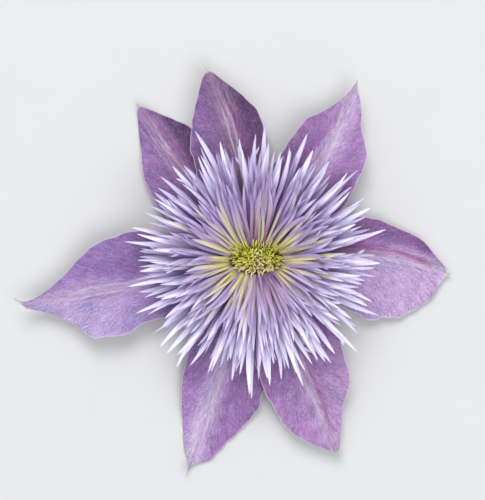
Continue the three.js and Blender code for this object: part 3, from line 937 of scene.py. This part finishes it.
def mound(x, y):
    """The height of the tuft's ground: two low heaps side by side."""
    out = min(1.0, math.hypot(x / TUFT_LONG, (y - TUFT_SHIFT) / TUFT_SHORT))
    heaps = sum(bell(x, heap, 2.4) for heap in TUFT_HEAPS)
    return TUFT_FOOT + TUFT_MOUND * math.sqrt(1 - 0.75 * out * out) * (0.8 + 0.22 * heaps)


def brown_and_shadow_at(x, y):
    """How much brown the tuft takes at a place, partly its own colour and partly painted shadow: most
    so a little below its middle.
    """
    return bell(x, 1.4, 2.2) * smoothstep(0.8 - y, 0, 2)


def filament(body, draw):
    """A short filament that leans outwards and curls, with a small swollen tip."""
    pick = draw()
    heap = TUFT_HEAPS[0] if pick < 0.38 else TUFT_HEAPS[1] if pick < 0.76 else 0.6
    angle = 2 * math.pi * draw()
    out = math.sqrt(draw())
    x = heap + 3.2 * out * math.cos(angle)
    y = 3.3 * out * math.sin(angle) + TUFT_SHIFT * 0.6
    root = np.array([x, y, mound(x, y) - 0.8])
    length = (2.9 - 0.7 * out) * (0.6 + 0.7 * draw())
    lean = np.array([0.18 * x + 0.9 * out * math.cos(angle), 1.3 * out * math.sin(angle), length])
    curl = np.array([draw() - 0.5, 0.8 * (draw() - 0.5), 0]) * 3
    coil = 0.15 + 0.4 * draw()
    spin = 2 * math.pi * draw()
    chance = draw()
    thin = 0.13 + 0.1 * draw()
    drop = 0.8 + 1.6 * draw() * out
    room = 0.93 + 0.25 * draw()
    middle = brown_and_shadow_at(x, y)

    def place(u):
        bend = np.array([math.cos(spin + 4.5 * u), math.sin(spin + 4.5 * u), 0]) * coil * u
        point = root + lean * u + curl * u * u + bend
        point[2] -= drop * max(0.0, u) ** 3
        # It stays near the well, and doesn't run far over the petaloids round it.
        reach = math.hypot(point[0] / (WELL_LONG * room), point[1] / (WELL_SHORT * room))
        point[:2] /= max(1.0, reach)
        return point

    def radius_at(u):
        return thin * (1.1 - 0.35 * u + 0.6 * bell(u, 0.86, 0.13))

    rim = smoothstep(-math.sin(angle) * out + 0.3 * (draw() - 0.5), 0.4, 0.8)
    rim = max(rim, 0.8 * bell(x, 0.9, 1.8) * draw())
    tube(body, place, radius_at, FILAMENT_ROWS, FILAMENT_SIDES,
         lambda u: (u, middle, chance), (out, chance * 9, rim))


def fringe_filament(body, draw, angle):
    """A longer filament at the tuft's rim, which bends out over the petaloids' roots."""
    way = np.array([math.cos(angle), math.sin(angle), 0.0])
    turn = math.degrees(angle) % 360
    crest = bell(turn, *CREST_LEFT) + 0.8 * bell(turn, *CREST_RIGHT)
    low = smoothstep(-way[1], 0.1, 0.7)
    inset = 0.72 + 0.24 * draw()
    x = TUFT_LONG * inset * way[0] + 0.3
    y = TUFT_SHORT * inset * way[1] + TUFT_SHIFT * (1 - low)
    root = np.array([x, y, mound(x, y) - 0.6])
    reach = (1.1 + 1.8 * draw()) * (0.7 + 1.1 * crest)
    height = 3 + 1.4 * draw() - 0.4 * low
    side = (draw() - 0.5) * 3
    hook = 1.1 * low * (draw() + 0.2)
    thin = 0.16 + 0.1 * draw() + 0.05 * low
    chance = draw()

    def place(u):
        point = root + way * (reach * u * abs(u)) + np.array([-way[1], way[0], 0]) * side * u * u
        point[2] += height * (1.5 * u - 0.6 * u * abs(u)) - hook * max(0, u) ** 3
        return point

    tube(body, place, lambda u: thin * (1.1 - 0.8 * u ** 4), FILAMENT_ROWS, FILAMENT_SIDES,
         lambda u: (0.2 + 0.75 * u, 0.2 * chance, chance), (1, chance * 9, low))


def make_tuft(material):
    body = Body("tuft_filaments")
    draw = seeded_random(TUFT_SEED)
    rings = []
    for share, height in ((0.98, 0), (0.95, 0.35), (0.72, 0.62), (0.36, 0.72), (0.02, 0.72)):
        ring = []
        for a in ring_angles(32):
            x = TUFT_LONG * share * math.cos(a)
            y = TUFT_SHORT * share * math.sin(a) + TUFT_SHIFT
            place = (x, y, TUFT_FOOT + TUFT_MOUND * height)
            ring.append(body.add(place, (0, brown_and_shadow_at(x, y), 0.3), (share, 0, 0)))
        rings.append(ring)
    body.closed(rings)
    for _ in range(TUFT_COUNT):
        filament(body, draw)
    for i in range(FRINGE_COUNT):
        fringe_filament(body, draw, 2 * math.pi * (i + 0.7 * draw()) / FRINGE_COUNT)
    body.build(material, "tuft", "tuft")


# -------- stalk and down

STALK_GREEN = (0.15, 0.19, 0.055)
STALK_BRONZE = (0.17, 0.085, 0.05)
STALK_PITH = (0.52, 0.55, 0.34)
STALK_RING = (0.20, 0.22, 0.09)
HAIR_PALE = (0.62, 0.60, 0.52)
HAIR_TAN = (0.46, 0.42, 0.34)


def stalk_look():
    """blade: mm along, angle around, ridge 0 to 1. tone: distance from a cut's middle, cut, head."""
    look = Look("stalk_skin", roughness=0.6)
    length, turn, ridge = look.numbers("blade")
    radius, cut, head = look.numbers("tone")
    lines = look.noise((length, 0.12), (turn, 2.2), 0.0, detail=4.0)
    spots = look.noise(length, (turn, 1.5), 3.0)
    bronze = look.total(look.times(ridge, 0.4), look.between(lines, 0.45, 0.7))
    skin = look.blend(look.times(bronze, 0.7), STALK_GREEN, STALK_BRONZE)
    skin = look.blend(look.times(head, 0.5), skin, STALK_PITH)
    skin = look.blend(look.times(look.between(spots, 0.55, 0.8), 0.3), skin, STALK_PITH)
    face = look.blend(look.between(radius, 0.5, 0.95), STALK_PITH, STALK_RING)
    look.colour(look.blend(cut, skin, face))
    look.bump(look.total(lines, look.times(spots, 0.5)), 0.0002, 0.6)
    return look.material


def hair_look():
    look = Look("down", roughness=0.6)
    chance = look.numbers("blade")[2]
    look.colour(look.blend(chance, HAIR_PALE, HAIR_TAN))
    return look.material


# The route of the part's own stalk, in the stalk's own direction.
STALK_LOW = STALK_RADIUS + STALK_REST
STALK_ROUTE = np.array([
    (0, 0, RECEPTACLE_BOTTOM + 2),
    (0, 0, STALK_LOW + STALK_BEND),
    (STALK_BEND * 0.29, 0, STALK_LOW + STALK_BEND * 0.29),
    (STALK_BEND, 0, STALK_LOW),
    (STALK_REACH * 0.35, 1.2, STALK_LOW),
    (STALK_REACH * 0.68, 0.3, STALK_LOW),
    (STALK_REACH, -1.6, STALK_LOW),
])


def through(points, u):
    """A centripetal curve through points, as the part's source draws it."""
    ends = [2 * points[0] - points[1], *points, 2 * points[-1] - points[-2]]
    place = min(max(u, 0.0), 1.0) * (len(points) - 1)
    k = min(int(place), len(points) - 2)
    w = place - k
    a, b, c, d = ends[k:k + 4]
    first, second, third = (math.sqrt(np.linalg.norm(q - p)) for p, q in ((a, b), (b, c), (c, d)))
    leave = ((b - a) / first - (c - a) / (first + second) + (c - b) / second) * second
    arrive = ((c - b) / second - (d - b) / (second + third) + (d - c) / third) * second
    square = 3 * (c - b) - 2 * leave - arrive
    cube = 2 * (b - c) + leave + arrive
    return b + leave * w + square * w ** 2 + cube * w ** 3


def stalk_place(u):
    return turned(through(STALK_ROUTE, u), (0, 0, 1), math.radians(STALK_ANGLE))


def stalk_frame(u):
    """The stalk's middle at u, with its sideways and upward directions there."""
    ahead = unit(stalk_place(u + 0.004) - stalk_place(u - 0.004))
    sideways = turned((0, 1, 0), (0, 0, 1), math.radians(STALK_ANGLE))
    up = unit(np.cross(ahead, sideways))
    return stalk_place(u), np.cross(up, ahead), up


def stalk_radius(turn):
    return STALK_RADIUS - STALK_RIDGE * 0.5 * (1 - math.cos(6 * turn))


def make_stalk(material):
    body = Body("stalk_stem")
    sides, rows = ((36, 110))
    rings = []
    for i in range(rows + 1):
        u = STALK_END * i / rows
        middle, sideways, up = stalk_frame(u)
        swell = 1 + 0.02 * math.sin(31 * u) + 0.01 * math.sin(67 * u)
        ring = []
        for a in ring_angles(sides):
            spot = middle + spoke(sideways, up, a) * stalk_radius(a) * swell
            ring.append(body.add(spot, (STALK_REACH * u, a, 0.5 + 0.5 * math.cos(6 * a))))
        rings.append(ring)
    body.grid(rings, around=True)
    body.faces.append(rings[0][::-1])
    end, sideways, up = stalk_frame(STALK_END)
    ahead = np.cross(sideways, up)
    cut = [rings[-1]]
    for share, push in ((0.98, 0), (0.86, 0.05), (0.8, -0.04), (0.3, -0.1)):
        ring = []
        for a in ring_angles(sides):
            spot = end + spoke(sideways, up, a) * stalk_radius(a) * share - ahead * push
            ring.append(body.add(spot, (STALK_REACH, a, 0), (share, 1, 0)))
        cut.append(ring)
    body.grid(cut, around=True)
    body.faces.append(cut[-1])
    profile = [
        (0.01, RECEPTACLE_BOTTOM), (STALK_RADIUS + 0.2, RECEPTACLE_BOTTOM),
        (RECEPTACLE_RADIUS - 0.9, RECEPTACLE_BOTTOM + 0.6),
        (RECEPTACLE_RADIUS - 0.3, RECEPTACLE_BOTTOM + 1.3),
        (RECEPTACLE_RADIUS, RECEPTACLE_BOTTOM + 2.2), (RECEPTACLE_RADIUS, RECEPTACLE_TOP - 0.6),
        (RECEPTACLE_RADIUS - 0.5, RECEPTACLE_TOP), (0.01, RECEPTACLE_TOP),
    ]
    body.closed([
        [body.add((radius * math.cos(a), radius * math.sin(a), height), (height, a, 0.3), (1, 0, 1))
         for a in ring_angles(sides)]
        for radius, height in profile
    ])
    body.build(material, "stalk", "stalk")


def hair(body, root, way, length, chance):
    sag = np.array([0, 0, -0.12 * length])

    def place(u):
        return root + way * length * u + sag * u * abs(u)

    def radius_at(u):
        return HAIR_RADIUS * (1.05 - 0.9 * u)

    tube(body, place, radius_at, 3, 3, lambda u: (u, 0, chance), (0, 0, 0))


def make_stalk_down(material):
    body = Body("stalk_down")
    draw = seeded_random(DOWN_SEED)
    for _ in range(STALK_HAIRS):
        u = 0.1 + 0.89 * draw()
        turn = 2 * math.pi * draw()
        middle, sideways, up = stalk_frame(u)
        out = spoke(sideways, up, turn)
        root = middle + out * (stalk_radius(turn) - 0.04)
        length = 0.45 + 0.6 * draw()
        way = unit(out + np.array([draw() - 0.5, draw() - 0.5, 0.5 * (draw() - 0.5)]) * 0.8)
        if root[2] + way[2] * length < 0.25:
            continue
        hair(body, root, way, length, draw())
    body.build(material, "stalk")


def make_sepal_down(material):
    """Short down along the ribs of the sepals' undersides."""
    body = Body("sepal_down")
    draw = seeded_random(DOWN_SEED + 1)
    for number, sepal in enumerate(SEPALS):
        for _ in range(SEPAL_HAIRS):
            share = 0.12 + 0.8 * draw()
            row = sepal_row(sepal, share, number * NOTCH_SHIFT)
            rib = (math.floor(3 * draw()) - 1) * SEPAL_RIB_SPACING + (draw() - 0.5) * 1.6
            _, bottom, _, edge = min(row, key=lambda item: abs(item[2] - rib))
            way = unit(np.array([draw() - 0.5, draw() - 0.5, -0.9]))
            length = 0.3 + 0.4 * draw()
            if bottom[2] > length + 0.2 and edge < 0.8:
                hair(body, np.array(bottom) + np.array([0, 0, 0.05]), way, length, draw())
    body.build(material, "sepal")


# -------- floor, lights and camera

FLOOR_LIGHT = (0.60, 0.60, 0.59)
FLOOR_SHADE = (0.57, 0.57, 0.56)
# The photograph spans VIEW_HEIGHT of the flower's plane from its lower to its upper edge, and its
# middle lies VIEW_SHIFT from the flower's centre.
VIEW_HEIGHT = 150.0
VIEW_SHIFT = (-4.05, 3.0)
VIEW_PLANE = 12.0
CAMERA_DISTANCE = 620.0
SENSOR = 24.0
FLOOR_HALF = 1.5
WORLD_COLOUR = (0.88, 0.92, 1.0)
WORLD_STRENGTH = 0.66
# Each light's place in metres, its width, its power in watts and its colour.
LIGHTS = {
    "key": ((-0.15, 0.95, 1.45), 1.0, 19.0, (1.0, 0.98, 0.95)),
    "fill": ((0.5, -0.7, 1.6), 1.4, 15.5, (0.97, 0.97, 1.0)),
}


def floor_look():
    look = Look("studio_floor", roughness=0.85, specular=0.2)
    x, y, z = look.split(look.node("TexCoord").outputs["Object"])
    grain = look.noise((x, 60.0), (y, 60.0), z)
    look.colour(look.blend(grain, FLOOR_LIGHT, FLOOR_SHADE))
    return look.material


def make_floor():
    mesh = bpy.data.meshes.new("floor")
    level = cad_box[0][2]
    ends = ((-1, -1), (1, -1), (1, 1), (-1, 1))
    corners = [(FLOOR_HALF * x, FLOOR_HALF * y, level) for x, y in ends]
    mesh.from_pydata(corners, [], [(0, 1, 2, 3)])
    mesh.materials.append(floor_look())
    floor = new_object("floor", mesh)


def make_lights():
    scene = bpy.context.scene
    scene.view_settings.view_transform = "Standard"
    world = bpy.data.worlds.new("studio")
    scene.world = world
    world.use_nodes = True
    background = world.node_tree.nodes["Background"]
    background.inputs["Color"].default_value = (*WORLD_COLOUR, 1)
    background.inputs["Strength"].default_value = WORLD_STRENGTH
    for name, (place, size, power, colour) in LIGHTS.items():
        light = bpy.data.lights.new(name, "AREA")
        light.shape = "DISK"
        light.size = size
        light.energy = power
        light.color = colour
        lamp = new_object(name, light)
        lamp.location = place
        lamp.rotation_euler = (-Vector(place)).to_track_quat("-Z", "Y").to_euler()


def make_camera():
    camera_data = bpy.data.cameras.new("camera")
    camera_data.sensor_fit = "VERTICAL"
    camera_data.sensor_height = SENSOR
    camera_data.lens = SENSOR * CAMERA_DISTANCE / VIEW_HEIGHT
    camera_data.clip_start = 0.01
    camera_data.clip_end = 20
    camera = new_object("camera", camera_data)
    camera.location = (CENTRE + (*VIEW_SHIFT, VIEW_PLANE + CAMERA_DISTANCE)) * MM
    bpy.context.scene.camera = camera


# -------- assembly

make_camera()
make_lights()
make_floor()
sepal_material = sepal_look()
for number, sepal in enumerate(SEPALS):
    make_sepal(sepal, number, sepal_material)
make_petaloids(petaloid_look())
make_dome(dome_look())
make_tuft(tuft_look())
make_stalk(stalk_look())
down_material = hair_look()
make_stalk_down(down_material)
make_sepal_down(down_material)
